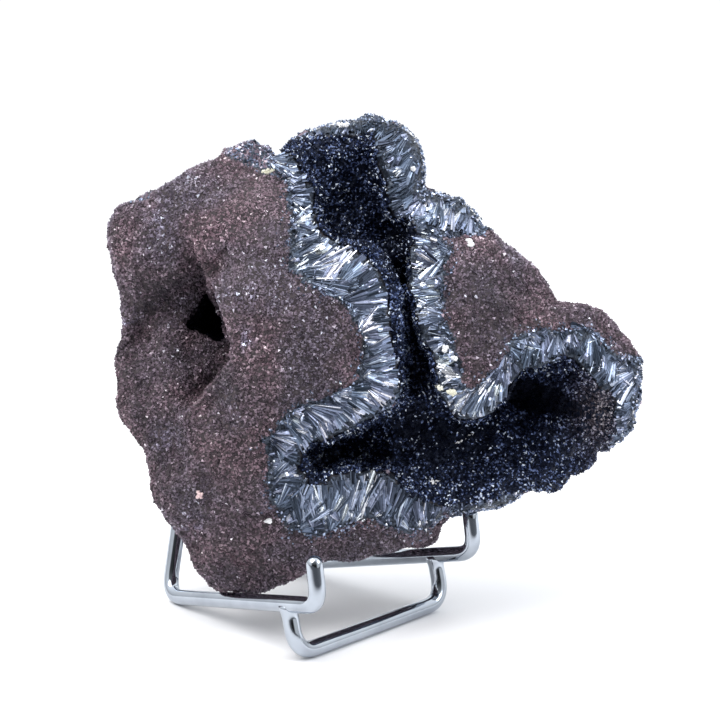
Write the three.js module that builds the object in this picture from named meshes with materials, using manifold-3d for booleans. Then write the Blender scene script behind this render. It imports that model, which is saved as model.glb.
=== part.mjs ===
// A manganese ore specimen, pyrolusite with manganite, resting on a bent wire easel.
// Millimetres, +Z up, floor at z = 0. The specimen's show face looks along -Y.
import * as THREE from "three";
import { mergeVertices } from "three/addons/utils/BufferGeometryUtils.js";
import Module from "manifold-3d";

const wasm = await Module();
wasm.setup();

// Driving dimensions

const FIT_GAP = 0.35; // clearance kept between neighbouring pieces
const WIRE = 3.2; // easel wire, 1/8 inch
const WIRE_SIDES = 8;
const BEND = 5.5; // how far from a corner the wire starts to bend
const BEND_STEP = 4; // spacing of the wire's sections

// The easel in its own frame: x across, -y to its front, the floor point under its front centre as origin.
const EASEL = {
  frontWidth: 43.6, // between the two arms at their tips
  backWidth: 30, // between the two arms at the back corners
  armReach: 52, // from the tips to the back corners
  frontHeight: 14.2, // wire centre at the front corners
  tipRise: 7.6,
  tipSetback: 1.2, // the tips lean back by this much
  archRise: 38, // the back rest's top above the back corners
  archWidth: 8, // the back rest's width just below its top
  archSetback: 3.4, // the back rest leans back by this much
  footSetback: 9.6, // from the front corners back to the foot's welds
  footAdvance: 2.3, // the foot's bar stands this far in front of its welds
  turn: 45.9, // degrees about +Z, away from the specimen's show face
  place: [7.8, -16.5], // below the specimen's face centre
};

// The specimen in its own face frame: x right, z up the face, and height towards the viewer.
const FACE_HEIGHT = 52.4; // face centre above the floor
const LEAN = 10.6; // degrees that the face leans back
const BODY_CENTRE = [3, -1];
const BODY_DETAIL = 9; // facets across, as for every detail below
const FACE_BLUNTNESS = 3.2; // 2 is a round edge, higher is squarer
const BACK_BLUNTNESS = 4.2;
const HOLLOW_BLUNTNESS = 2.3;
const HOLLOW_MOUTH = 45; // a hollow's cutter reaches this far out of its rim
const SPOT_SOFTNESS = 3; // how gently the spot heights blend
const ROUGHNESS = 0.6; // broken rock surface, half of its rise and fall
const VIEW_DISTANCE = 300; // hollows and bands are set out as they look from this far

const CRUST_THICKNESS = 1.5;
const CRUST_RECESS = 3; // the crust's edge lies this far below the rock's face
const CRUST_ROUGHNESS = 0.7;
const SLIVER = 0.2; // facets finer than this are joined

const BLADE_PITCH = 4.2; // spacing of the silver crystal blades along their band
const BLADE_WIDTH = 3.7;
const BLADE_THICKNESS = 1.9;
const BLADE_TAPER = 0.77; // width at the root, as a share of the width at the tip
const BLADE_SIDES = 4;
const BLADE_SINK = 0.5; // blades lie this deep in the rock

// The rock's outline, from its top left corner round by the top, right and bottom.
const OUTLINE = [
  [-49.5, 28.3], [-46.8, 30.2], [-44.5, 32.2], [-40.5, 33], [-36, 36], [-31.5, 38.3], [-27, 39.5],
  [-24, 41.8], [-20.8, 42.7], [-18.5, 41.8], [-15.6, 41], [-15, 43], [-12.5, 44.5], [-9, 45.8],
  [-3.5, 47], [0.5, 46.8], [2.8, 48], [5, 47], [9, 46.7], [11, 44.7], [12.4, 41], [12.7, 38.5],
  [12.4, 34.3], [14, 33.5], [18, 32.3], [22, 30], [26.5, 25.6], [30, 21.5], [34, 18.5], [37, 15.5],
  [38.3, 11.5], [41, 10.5], [46, 10.3], [48.5, 9.2], [51.5, 5.5], [55.2, 0.8], [55.8, -2.5], [55, -5],
  [55.8, -8], [54.4, -11], [53.3, -15], [50, -16.8], [47.5, -18.6], [44.5, -20.3], [42, -22],
  [38.5, -25], [33, -25.2], [31.5, -27.5], [28, -28.5], [25, -29.7], [20, -29.8], [15.5, -32.3],
  [14.5, -34.8], [12, -36.3], [7, -37.5], [0, -38.8], [-8.8, -40], [-12, -42.8], [-17, -44.6],
  [-24, -46.6], [-27.5, -45.8], [-30.8, -43.8], [-32.8, -40], [-35, -35.5], [-38, -31.8],
  [-40, -29.7], [-41.5, -20.5], [-42.8, -16.5], [-45.5, -12.8], [-48, -9.5], [-47.8, -4.5],
  [-48.2, 0], [-46.6, 5], [-46.5, 10], [-48, 15], [-49.3, 21.5],
];

// Spot heights of the face: x, z and the height towards the viewer.
const FACE_SPOTS = [
  [-46, 27, 8], [-40, 22, 13], [-33, 30, 14], [-27, 36, 12], [-20, 39, 11], [-25, 25, 18],
  [-18, 29, 17], [-14, 34, 14], [-10, 34, 11], [-13, 20, 19], [-6, 21, 15], [-20, 14, 21],
  [-25, 11, 20], [-25.5, 2, 19.5], [-29, 16, 15], [-36, 12, 9.5], [-41, 12, 9], [-43, 3, 8],
  [-37, 0, 9], [-32, -4, 11], [-29, -9, 15.5], [-38, -9, 12], [-44, -7, 9], [-10, 8, 22],
  [-4, 12, 21], [3, 16, 16], [-3, 3, 22], [3, 5, 18.5], [6, 1, 15], [-12, -3, 22.5], [-2, -5, 21],
  [5, -8, 16], [-20, -5, 21.5], [-25, -15, 20], [-15, -11, 21], [-5, -13, 17], [-20, -22, 20],
  [-13, -18, 16], [-31, -24, 15], [-38, -18, 10], [-25, -35, 15], [-32, -36, 9], [-24, -43, 9],
  [-15, -35, 15], [-8, -30, 16], [-3, -24, 14], [0, -34, 13], [8, -33, 12], [6, -25, 12], [15, -30, 10],
  [0, 46, 4], [-8, 44, 4], [9, 42, 9], [9, 35, 10], [8, 30, 9], [0, 35, 9], [14, 30, 8], [21, 28, 9],
  [13, 22, 14], [12, 14, 14], [16, 15, 16.5], [13, 6, 15], [18, 5, 18], [23, 18, 14], [26, 9, 17],
  [32, 14, 10], [33, 8, 13], [28, 3, 17], [20, -2, 18.5], [21, -9, 18], [27, -6, 17], [34, 2, 15],
  [41, 5, 12.5], [47, 6, 9], [51, 2, 9], [53, -6, 7], [51, -13, 6], [45, -3, 12], [10, -15, 15],
  [30, -12, 14], [40, -12, 11], [24, -28, 9], [35, -24, 8], [43, -19, 7], [48, -15, 7],
];

// Spot depths of the back, away from the viewer.
const BACK_SPOTS = [
  [-42, 22, 12], [-38, 0, 15], [-25, 30, 15], [-20, 8, 18], [0, 38, 12], [0, 15, 20], [5, -10, 22],
  [20, -18, 21], [22, 22, 13], [33, 5, 16], [47, 0, 11], [46, -14, 11], [-25, -20, 18],
  [-28, -38, 13], [-5, -30, 23], [10, -28, 24], [-42, -15, 12],
];

// The underside's heel, behind the lower edge, which stands on the easel's right arm.
const HEEL = { centre: [9, 11.5, -31], radii: [12, 10, 7.4], detail: 3 };

// A hollow has a rim outline about a centre, a rim level, depths below the rim, and a slant:
// how far its floor moves right and up for each millimetre of depth.
const HOLLOWS = {
  upper: {
    centre: [-1, 33], level: 10, slant: [0, 0], detail: 3,
    outline: [
      [-14, 42.3], [-12, 43.6], [-8.5, 44.4], [-4, 43.3], [0, 44], [3.3, 44.2], [4.3, 41.5], [5, 38],
      [5.8, 35], [5.2, 31.5], [6, 29.5], [8.5, 27], [11, 24.8], [8.8, 21.5], [7, 19.5], [4.5, 20.8],
      [2, 22.2], [-3.5, 22.6], [-6.5, 23.5], [-8, 25.5], [-9.5, 27.5], [-9, 31], [-8.7, 34],
      [-10, 35.5], [-11.5, 38], [-13.5, 41],
    ],
    depths: [[-8, 40, 7], [0, 38, 9], [0, 28, 11], [7, 23, 17]],
  },
  cleft: {
    centre: [9.2, 7], level: 16, slant: [0.08, 0], detail: 4,
    outline: [
      [4.6, 23], [9.8, 22.5], [9.6, 19], [10, 16], [10.2, 12], [11, 8], [11.8, 4.5], [13.6, 2], [15, -3],
      [16, -8], [12, -11], [8.2, -9], [8, -4], [7.6, 0], [7.4, 4], [7.5, 9], [7.2, 14], [5.8, 18.5],
    ],
    depths: [[9, 20, 23], [9, 5, 23], [12, -8, 20]],
  },
  lower: {
    centre: [24, -18], level: 13, slant: [0, 0.22], detail: 4,
    outline: [
      [3, -14], [6.5, -9.8], [9, -7], [12, -5], [15, -5.5], [17, -8.5], [19.5, -11.7], [24, -11.5],
      [27.3, -9.5], [28.6, -6.5], [30, -3.5], [33, -1.8], [38, -0.6], [41, 0.8], [44, -1.2], [46, -3.5],
      [49.3, -5.5], [49.3, -9], [49, -14], [46.5, -17.5], [42, -21], [38.5, -24.2], [35, -24.6],
      [30, -26], [24, -28.2], [18, -28.3], [12.5, -28.5], [8.7, -27], [7.4, -24], [3, -21.5],
    ],
    depths: [[8, -16, 13], [20, -18, 12], [34, -8, 19], [44, -8, 11], [32, -20, 9], [15, -25, 10]],
  },
  lowerEnd: {
    centre: [-3, -18.5], level: 16, slant: [-0.05, 0], detail: 3,
    outline: [
      [-11.5, -17.5], [-9, -16], [-5, -15], [-1, -14], [1, -12.5], [4, -11], [6.5, -9.8], [10, -12],
      [11, -18], [8, -23], [2, -22.2], [-4.3, -21.5], [-6, -24], [-8, -24.8], [-10.5, -23.8], [-11.6, -21],
    ],
    depths: [[-8, -20, 17], [4, -17, 16]],
  },
};

// The brown recess in the left of the face and the deep pit in it, both without a crystal crust.
const DENTS = [
  {
    centre: [-34, 5], level: 14, slant: [0.2, 0], detail: 3,
    outline: [
      [-44, 12], [-39, 16.5], [-33, 18.5], [-30.4, 17], [-29, 13.4], [-26.9, 8], [-25, 2.8], [-25.2, 0],
      [-28.4, -3.6], [-31, -6.6], [-36, -6.5], [-41, -3], [-44, 3],
    ],
    depths: [[-40, 6, 7], [-35, 12, 9], [-31, 6, 12], [-31, -3, 8]],
  },
  {
    centre: [-30.2, 8.6], level: 10, slant: [0.35, 0.1], detail: 2,
    outline: [
      [-33.2, 13.6], [-30, 14.4], [-28.2, 10.5], [-26.8, 7], [-26, 3.6], [-29, 3.8], [-32.3, 5],
      [-34.4, 8], [-34.4, 11],
    ],
    depths: [[-30, 8, 13]],
  },
];

// Bands of silver crystals along the hollows' broken edges. Each station is a blade's root, on the
// brown side, and its tip, at the hollow.
const BANDS = {
  leftEdge: [
    [[-19.5, 40.5], [-13.6, 41.6]], [[-15, 37], [-11, 37]], [[-14, 32], [-8.9, 32]],
    [[-13.8, 27], [-9.3, 28]], [[-13.5, 23], [-7.5, 25]], [[-14.5, 18], [-3.5, 22]],
    [[-8.5, 13.5], [1.5, 20.5]], [[-4.5, 12], [4.5, 16]], [[-1.5, 8], [5.3, 11]], [[0.3, 4], [6, 5]],
    [[0.3, 0.5], [7, -0.5]], [[-1, -4], [8, -6]], [[-5, -6.5], [2.5, -11.5]],
    [[-10, -8], [-3.5, -14.5]], [[-15, -11], [-9, -16]], [[-19, -16], [-11.5, -17.5]],
    [[-18.5, -22], [-11.5, -21]], [[-17.5, -28], [-9.5, -24.5]], [[-13.5, -34], [-6.5, -24]],
    [[-7, -34.5], [-3.5, -21.5]], [[-1, -31], [1.5, -21.5]], [[5, -33], [5.5, -22.5]],
    [[9, -34.5], [8.3, -25.5]], [[13, -33.5], [12.5, -28.5]], [[16, -31.3], [18, -28]],
  ],
  rightEdge: [
    [[22, 27.5], [20, 31.2]], [[18.5, 25.8], [15.5, 32.8]], [[15.5, 25], [11.2, 27.8]],
    [[17.5, 21.5], [10, 21.5]], [[16.5, 17], [9.2, 18.5]], [[16.5, 12], [10.2, 12]],
    [[18, 7], [11.3, 7.5]], [[19, 3], [13.2, 2]], [[20, -1.5], [15, -3.5]], [[21, -5], [17.5, -9]],
    [[23, -5], [22, -12]], [[25, -3.5], [27, -9.5]], [[27, 1], [29, -5]], [[29.5, 4.5], [32, -2]],
    [[35, 6], [36.5, -1]], [[40.5, 6.2], [40.5, 0.8]], [[45.5, 6], [43.5, -1]],
    [[49.5, 2.5], [46.5, -3.5]], [[54.6, 0], [49.6, -5.5]], [[55, -6.5], [49.6, -9]],
    [[54, -12], [49.2, -13]], [[51.5, -15.8], [47.3, -16.6]],
  ],
  topLobe: [
    [[12, 43.5], [4.5, 41.5]], [[12.3, 39], [5.3, 38]], [[12.2, 35.5], [5.9, 34.5]],
    [[11.2, 31.5], [5.6, 30.8]],
  ],
  topRim: [
    [[-8, 45.9], [-7.5, 43.6]], [[-2, 46.7], [-2, 43.6]], [[4, 46.8], [3.6, 43.8]],
  ],
  bottomRim: [
    [[20.5, -29.6], [21, -27.8]], [[27, -28.6], [26.5, -26.6]], [[33, -25.8], [32, -24.6]],
  ],
};

const FINISHES = {
  rock: { color: 0x4a3d3c, roughness: 0.85, metalness: 0.1 },
  crust: { color: 0x11131b, roughness: 0.35, metalness: 0.3 },
  chrome: { color: 0xd8dadf, roughness: 0.08, metalness: 1 },
};

// Solids and numbers

const toRadians = THREE.MathUtils.degToRad;
const mix = (a, b, share) => [a[0] + (b[0] - a[0]) * share, a[1] + (b[1] - a[1]) * share];
const span = (a, b) => Math.hypot(b[0] - a[0], b[1] - a[1]);

// A closed geometry as a solid.
function solidOf(geometry) {
  const bare = geometry.clone();
  bare.deleteAttribute("normal");
  bare.deleteAttribute("uv");
  const merged = mergeVertices(bare, 1e-3);
  const vertProperties = merged.attributes.position.array;
  const triVerts = new Uint32Array(merged.index.array);
  return new wasm.Manifold(new wasm.Mesh({ numProp: 3, vertProperties, triVerts }));
}

// A solid as a geometry.
function geometryOf(solid) {
  const mesh = solid.getMesh();
  const geometry = new THREE.BufferGeometry();
  geometry.setAttribute("position", new THREE.BufferAttribute(mesh.vertProperties, 3));
  geometry.setIndex(new THREE.BufferAttribute(mesh.triVerts, 1));
  geometry.computeVertexNormals();
  return geometry;
}

function largestPiece(solid) {
  return solid.decompose().reduce((a, b) => (a.volume() > b.volume() ? a : b));
}

function piece(name, geometry, finish) {
  const mesh = new THREE.Mesh(geometry, new THREE.MeshStandardMaterial(finish));
  mesh.name = name;
  return mesh;
}

// A repeatable random number from 0 to 1.
function chance(n) {
  const wave = Math.sin(n * 127.1 + 311.7) * 43758.5453;
  return wave - Math.floor(wave);
}

// Rise and fall of a broken surface at a point, from about -1 to 1.
function ripple(x, y, z) {
  const broad = Math.sin(0.41 * x + 1.3) * Math.sin(0.47 * y - 0.6) + Math.sin(0.53 * z + 0.29 * x);
  const fine = Math.sin(1.31 * x - 0.83 * z) * Math.sin(1.17 * y + 1.09 * z + 2);
  return 0.4 * broad + 0.4 * fine;
}

// Height at a point from the spot heights around it, the nearest counting most.
function spotHeight(spots, x, z) {
  let sum = 0;
  let weights = 0;
  for (const [spotX, spotZ, height] of spots) {
    const away = (x - spotX) ** 2 + (z - spotZ) ** 2 + SPOT_SOFTNESS ** 2;
    const weight = away ** -2;
    sum += weight * height;
    weights += weight;
  }
  return sum / weights;
}

// How far an outline lies from its centre in one direction.
function reach(outline, [centreX, centreZ], angle) {
  const dirX = Math.cos(angle);
  const dirZ = Math.sin(angle);
  let farthest = 0;
  outline.forEach(([x0, z0], i) => {
    const [x1, z1] = outline[(i + 1) % outline.length];
    const edgeX = x1 - x0;
    const edgeZ = z1 - z0;
    const across = dirX * edgeZ - dirZ * edgeX;
    const along = ((x0 - centreX) * edgeZ - (z0 - centreZ) * edgeX) / across;
    const share = ((x0 - centreX) * dirZ - (z0 - centreZ) * dirX) / across;
    if (share >= 0 && share <= 1 && along > farthest) farthest = along;
  });
  return farthest;
}

// The specimen

// Share of the full height left at a point of an outline, 1 in its middle and 0 at its edge.
function edgeShare(spread, bluntness) {
  return (1 - Math.min(1, spread) ** bluntness) ** (1 / bluntness);
}

// An outline drawn in towards its inside, all round. Its corners run clockwise.
function insetOutline(outline, inset) {
  const last = outline.length - 1;
  return outline.map(([x, z], i) => {
    const before = outline[i === 0 ? last : i - 1];
    const after = outline[i === last ? 0 : i + 1];
    const turn = span(before, after);
    return [x + (inset * (after[1] - before[1])) / turn, z - (inset * (after[0] - before[0])) / turn];
  });
}

// A ball drawn out to an outline, with its own height in front of the level and depth behind it.
function lump({ outline, centre, level, detail, bluntness, front, back, slant, rough }) {
  const rim = new THREE.Path(outline.map((corner) => new THREE.Vector2(...corner)));
  rim.closePath();
  const ball = new THREE.IcosahedronGeometry(1, detail);
  const place = ball.attributes.position;
  const way = new THREE.Vector3();
  for (let i = 0; i < place.count; i++) {
    way.fromBufferAttribute(place, i);
    const rimPoint = rim.getPoint((1 - Math.atan2(way.z, way.x) / (2 * Math.PI)) % 1).toArray();
    const spread = Math.hypot(way.x, way.z);
    const [x, z] = mix(centre, rimPoint, spread);
    const inFront = way.y < 0;
    const height = inFront ? front(x, z) : -back(x, z);
    const depth = -height * edgeShare(spread, bluntness[inFront ? 0 : 1]);
    const below = Math.max(0, depth);
    const spot = new THREE.Vector3(x + slant[0] * below, depth - level, z + slant[1] * below);
    spot.addScaledVector(way, rough * ripple(spot.x, spot.y, spot.z));
    place.setXYZ(i, spot.x, spot.y, spot.z);
  }
  return solidOf(ball);
}

const faceHeight = (x, z) => spotHeight(FACE_SPOTS, x, z);

// The rock without its hollows. Sunk is how far its surface lies below the real one.
function rockBody(sunk = 0, rough = ROUGHNESS) {
  return lump({
    outline: insetOutline(OUTLINE, sunk), centre: BODY_CENTRE, level: 0, slant: [0, 0], rough,
    detail: BODY_DETAIL, bluntness: [FACE_BLUNTNESS, BACK_BLUNTNESS],
    front: (x, z) => faceHeight(x, z) - sunk,
    back: (x, z) => spotHeight(BACK_SPOTS, x, z) - sunk,
  });
}

function heel() {
  const ball = new THREE.IcosahedronGeometry(1, HEEL.detail);
  ball.scale(...HEEL.radii);
  ball.translate(...HEEL.centre);
  return solidOf(ball);
}

// A raised point really lies a little nearer the middle than it looks from the front.
const drawnIn = ([x, z], height) => [x, z].map((size) => size * (1 - height / VIEW_DISTANCE));

// The space of one hollow. A lining leaves a smaller space, by that much all round.
function hollowSpace({ outline, centre, level, slant, depths, detail }, lining = 0, rough = 0) {
  return lump({
    outline: insetOutline(outline.map((corner) => drawnIn(corner, level)), lining),
    centre: drawnIn(centre, level), level, slant, detail, rough,
    bluntness: [HOLLOW_BLUNTNESS, HOLLOW_BLUNTNESS],
    front: () => HOLLOW_MOUTH,
    back: (x, z) => spotHeight(depths, x, z) - lining,
  });
}

function spaces(hollows, lining = 0, rough = 0) {
  return wasm.Manifold.union(hollows.map((hollow) => hollowSpace(hollow, lining, rough)));
}

// A point of the face as it looks from the front, set on the rock's surface.
function onFace(seen) {
  const [x, z] = drawnIn(seen, faceHeight(...seen));
  const angle = Math.atan2(z - BODY_CENTRE[1], x - BODY_CENTRE[0]);
  const spread = Math.hypot(x - BODY_CENTRE[0], z - BODY_CENTRE[1]) / reach(OUTLINE, BODY_CENTRE, angle);
  return new THREE.Vector3(x, -faceHeight(x, z) * edgeShare(spread, FACE_BLUNTNESS), z);
}

// One flat-faced crystal blade from its root to its wider tip, lying in the face.
function blade(root, tip, width, thickness, roll) {
  const start = onFace(root);
  const end = onFace(tip);
  start.y += BLADE_SINK;
  end.y += BLADE_SINK;
  const corner = Math.SQRT1_2; // from the axis of a bar one millimetre square to its corners
  const bar = new THREE.CylinderGeometry(corner, corner * BLADE_TAPER, start.distanceTo(end), BLADE_SIDES);
  bar.rotateY(Math.PI / BLADE_SIDES + roll);
  bar.scale(width, 1, thickness);
  const along = end.clone().sub(start).normalize();
  const across = new THREE.Vector3().crossVectors(along, new THREE.Vector3(0, -1, 0)).normalize();
  const outward = new THREE.Vector3().crossVectors(across, along);
  const middle = start.clone().add(end).multiplyScalar(0.5);
  bar.applyMatrix4(new THREE.Matrix4().makeBasis(across, along, outward).setPosition(middle));
  return solidOf(bar);
}

// The blades of one band, fanned from station to station.
function bandBlades(stations, seed) {
  const blades = [];
  stations.slice(1).forEach(([nextRoot, nextTip], i) => {
    const [root, tip] = stations[i];
    const step = span(mix(root, tip, 0.5), mix(nextRoot, nextTip, 0.5));
    const number = Math.max(1, Math.round(step / BLADE_PITCH));
    for (let k = 0; k < number; k++) {
      const draw = seed + blades.length;
      const from = mix(root, nextRoot, (k + 0.5 + 0.4 * (chance(draw) - 0.5)) / number);
      const to = mix(tip, nextTip, (k + 0.5 + 0.4 * (chance(draw + 0.3) - 0.5)) / number);
      const width = BLADE_WIDTH * (0.8 + 0.5 * chance(draw + 0.5));
      const thickness = BLADE_THICKNESS * (0.8 + 0.6 * chance(draw + 0.7));
      const roll = 0.5 * (chance(draw + 0.2) - 0.5);
      blades.push(blade(from, mix(from, to, 1 + 0.1 * chance(draw + 0.9)), width, thickness, roll));
    }
  });
  return blades;
}

function allBlades() {
  return wasm.Manifold.union(Object.values(BANDS).flatMap((stations, i) => bandBlades(stations, 100 * i)));
}

// The easel

// A wire along straight runs with rounded corners. Flat turns the wire's facets about its own axis.
function wire(corners, diameter, flat = 0) {
  const path = new THREE.CurvePath();
  let from = corners[0];
  corners.slice(1, -1).forEach((corner, i) => {
    const next = corners[i + 2];
    const bend = Math.min(BEND, corner.distanceTo(corners[i]) / 2, corner.distanceTo(next) / 2);
    const enter = corner.clone().lerp(corners[i], bend / corner.distanceTo(corners[i]));
    const leave = corner.clone().lerp(next, bend / corner.distanceTo(next));
    path.add(new THREE.LineCurve3(from, enter));
    path.add(new THREE.QuadraticBezierCurve3(enter, corner, leave));
    from = leave;
  });
  path.add(new THREE.LineCurve3(from, corners.at(-1)));
  const section = new THREE.Shape();
  const radius = diameter / 2 / Math.cos(Math.PI / WIRE_SIDES);
  for (let i = 0; i < WIRE_SIDES; i++) {
    const angle = ((i + 0.5) / WIRE_SIDES) * 2 * Math.PI + flat;
    const [x, y] = [radius * Math.cos(angle), radius * Math.sin(angle)];
    if (i === 0) section.moveTo(x, y);
    else section.lineTo(x, y);
  }
  const steps = Math.round(path.getLength() / BEND_STEP);
  return new THREE.ExtrudeGeometry(section, { extrudePath: path, steps, bevelEnabled: false });
}

const point = (x, y, z) => new THREE.Vector3(x, y, z);

// One continuous wire: left tip, left arm, the back rest's arch, right arm and right tip.
function easelWire(diameter) {
  const e = EASEL;
  const half = (side) => [
    point((side * e.frontWidth) / 2, e.tipSetback, e.frontHeight + e.tipRise),
    point((side * e.frontWidth) / 2, 0, e.frontHeight),
    point((side * e.backWidth) / 2, e.armReach, WIRE / 2),
    point((side * e.archWidth) / 2, e.armReach + e.archSetback, WIRE / 2 + e.archRise),
  ];
  return wire([...half(-1), ...half(1).reverse()], diameter);
}

// The front foot: a wire bent to a U, welded under both arms, with its bar flat on the floor.
function easelFoot(diameter) {
  const e = EASEL;
  const share = e.footSetback / e.armReach;
  const halfWidth = (e.frontWidth + (e.backWidth - e.frontWidth) * share) / 2;
  const weldHeight = e.frontHeight + (WIRE / 2 - e.frontHeight) * share;
  const lean = Math.atan2(e.footAdvance, weldHeight - WIRE / 2);
  const half = (side) => [
    point(side * halfWidth, e.footSetback, weldHeight),
    point(side * halfWidth, e.footSetback - e.footAdvance, WIRE / 2),
  ];
  return wire([...half(-1), ...half(1).reverse()], diameter, lean);
}

// Assembly

const easel = new THREE.Group();
easel.position.set(...EASEL.place, 0);
easel.rotation.z = toRadians(EASEL.turn);
easel.updateMatrix();

const specimen = new THREE.Group();
specimen.position.z = FACE_HEIGHT;
specimen.rotation.x = -toRadians(LEAN);
specimen.updateMatrix();

const mainWire = easelWire(WIRE);
mainWire.computeBoundingBox();
const settle = -mainWire.boundingBox.min.z; // brings the back corners down to the floor
mainWire.translate(0, 0, settle);
const wireClearance = easelWire(WIRE + 2 * FIT_GAP).translate(0, 0, settle);
const foot = largestPiece(solidOf(easelFoot(WIRE)).subtract(solidOf(wireClearance)));
const easelToFace = specimen.matrix.clone().invert().multiply(easel.matrix);
const restGroove = solidOf(wireClearance.applyMatrix4(easelToFace));

const hollows = Object.values(HOLLOWS);
const hollowed = rockBody().add(heel()).subtract(spaces(hollows)).subtract(spaces(DENTS));
const rock = largestPiece(hollowed.add(allBlades()).subtract(restGroove).simplify(SLIVER));

const crustInside = spaces(hollows, FIT_GAP + CRUST_THICKNESS, CRUST_ROUGHNESS);
const crustReach = rockBody(FIT_GAP, 0).translate([0, CRUST_RECESS, 0]);
const lining = spaces(hollows, FIT_GAP).subtract(crustInside).intersect(crustReach);
const crust = largestPiece(lining.simplify(SLIVER));

easel.add(piece("easel_wire", mainWire, FINISHES.chrome));
easel.add(piece("easel_foot", geometryOf(foot), FINISHES.chrome));
specimen.add(piece("ore_rock", geometryOf(rock), FINISHES.rock));
specimen.add(piece("black_crystal_crust", geometryOf(crust), FINISHES.crust));

// The part's origin is on the floor, under the middle of everything.
const display = new THREE.Group();
display.add(easel, specimen);
const bounds = new THREE.Box3().setFromObject(display, true);
const middle = bounds.getCenter(new THREE.Vector3());
display.position.set(-middle.x, -middle.y, -bounds.min.z);

const part = new THREE.Group();
part.add(display);

export default part;
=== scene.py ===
# %% [markdown]
# # A manganese ore specimen on a small wire easel
# The imported model gives the stone, its black crust and the two bent wires as plain solids.
# This lesson dresses them: drusy brown skin, silver crystal bands, black glittering hollows, mirror chrome.
# The frame is loaded first.

# %% Load the frame
import math

import bpy
import numpy as np
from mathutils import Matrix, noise
from mathutils.bvhtree import BVHTree


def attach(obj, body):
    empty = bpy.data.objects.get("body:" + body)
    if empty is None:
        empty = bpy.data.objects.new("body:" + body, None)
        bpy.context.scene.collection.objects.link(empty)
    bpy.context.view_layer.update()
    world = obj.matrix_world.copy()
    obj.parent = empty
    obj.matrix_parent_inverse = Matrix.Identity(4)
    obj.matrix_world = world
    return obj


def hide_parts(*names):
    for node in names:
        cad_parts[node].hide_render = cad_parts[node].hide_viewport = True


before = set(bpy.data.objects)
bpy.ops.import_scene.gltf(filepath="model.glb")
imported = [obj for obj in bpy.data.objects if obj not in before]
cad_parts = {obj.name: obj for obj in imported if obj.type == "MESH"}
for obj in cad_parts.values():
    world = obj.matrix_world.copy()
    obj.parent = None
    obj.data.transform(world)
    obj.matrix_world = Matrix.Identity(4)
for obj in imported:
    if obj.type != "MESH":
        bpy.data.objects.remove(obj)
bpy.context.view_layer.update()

MM = 0.001

# %% [markdown]
# ## One frame for the stone's face
# The stone leans back a little, and its show face looks straight at the viewer.
# Everything on the face could be placed in the room's axes, but a frame that leans with the face is easier:
# x to the right, z up the face, y away from the viewer, in millimetres.
# Points read from the front are "seen" points: a raised point looks further out than it is.

# %% The face frame
LEAN = math.radians(10.6)
FACE_CENTRE = np.array([-2.964, 0.960, 52.4])
VIEW_DISTANCE = 301.6
COS, SIN = math.cos(LEAN), math.sin(LEAN)


def to_room(spots):
    x, y, z = np.asarray(spots, float).T
    return (np.stack([x, y * COS + z * SIN, z * COS - y * SIN], 1) + FACE_CENTRE) * MM


def to_face(places):
    x, y, z = (np.asarray(places, float) / MM - FACE_CENTRE).T
    return np.stack([x, y * COS - z * SIN, y * SIN + z * COS], 1)


def as_seen(spots):
    return spots[:, [0, 2]] * (VIEW_DISTANCE / (VIEW_DISTANCE + spots[:, 1]))[:, None]


def unit(vectors):
    return vectors / np.maximum(np.linalg.norm(vectors, axis=-1, keepdims=True), 1e-9)


print("face centre", FACE_CENTRE.tolist(), "leans back", round(math.degrees(LEAN), 1), "degrees")

# %% [markdown]
# ## The camera
# A camera is a point, a direction and a lens. Its distance comes from how the easel's bends converge,
# and it looks at the middle of the face, slightly down, so that the face frame is also the camera's frame.

# %% Camera
SENSOR, LENS, NEAREST = 36, 76.65, 0.01
scene = bpy.context.scene
camera = bpy.data.objects.new("camera", bpy.data.cameras.new("camera"))
scene.collection.objects.link(camera)
camera.location = to_room([[0, -VIEW_DISTANCE, 0]])[0]
camera.rotation_euler = (math.pi / 2 - LEAN, 0, 0)
camera.data.sensor_width = SENSOR
camera.data.lens = LENS
camera.data.clip_start = NEAREST
scene.camera = camera
print("camera at", [round(v, 3) for v in camera.location])

# %% [markdown]
# ## A socket that does arithmetic
# A finish is a small calculation at every point of a surface. Wiring Math nodes by hand hides the idea,
# so this class wraps a socket: 1 - mask or patch * 0.5 adds the Math node and gives its result back.
# Colours are blended with a Mix node, because a Math node would turn them grey.

# %% The socket class
FIRST_COLOUR, SECOND_COLOUR, MIXED = 6, 7, 2  # a Mix node's colour inputs and its colour output


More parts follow.
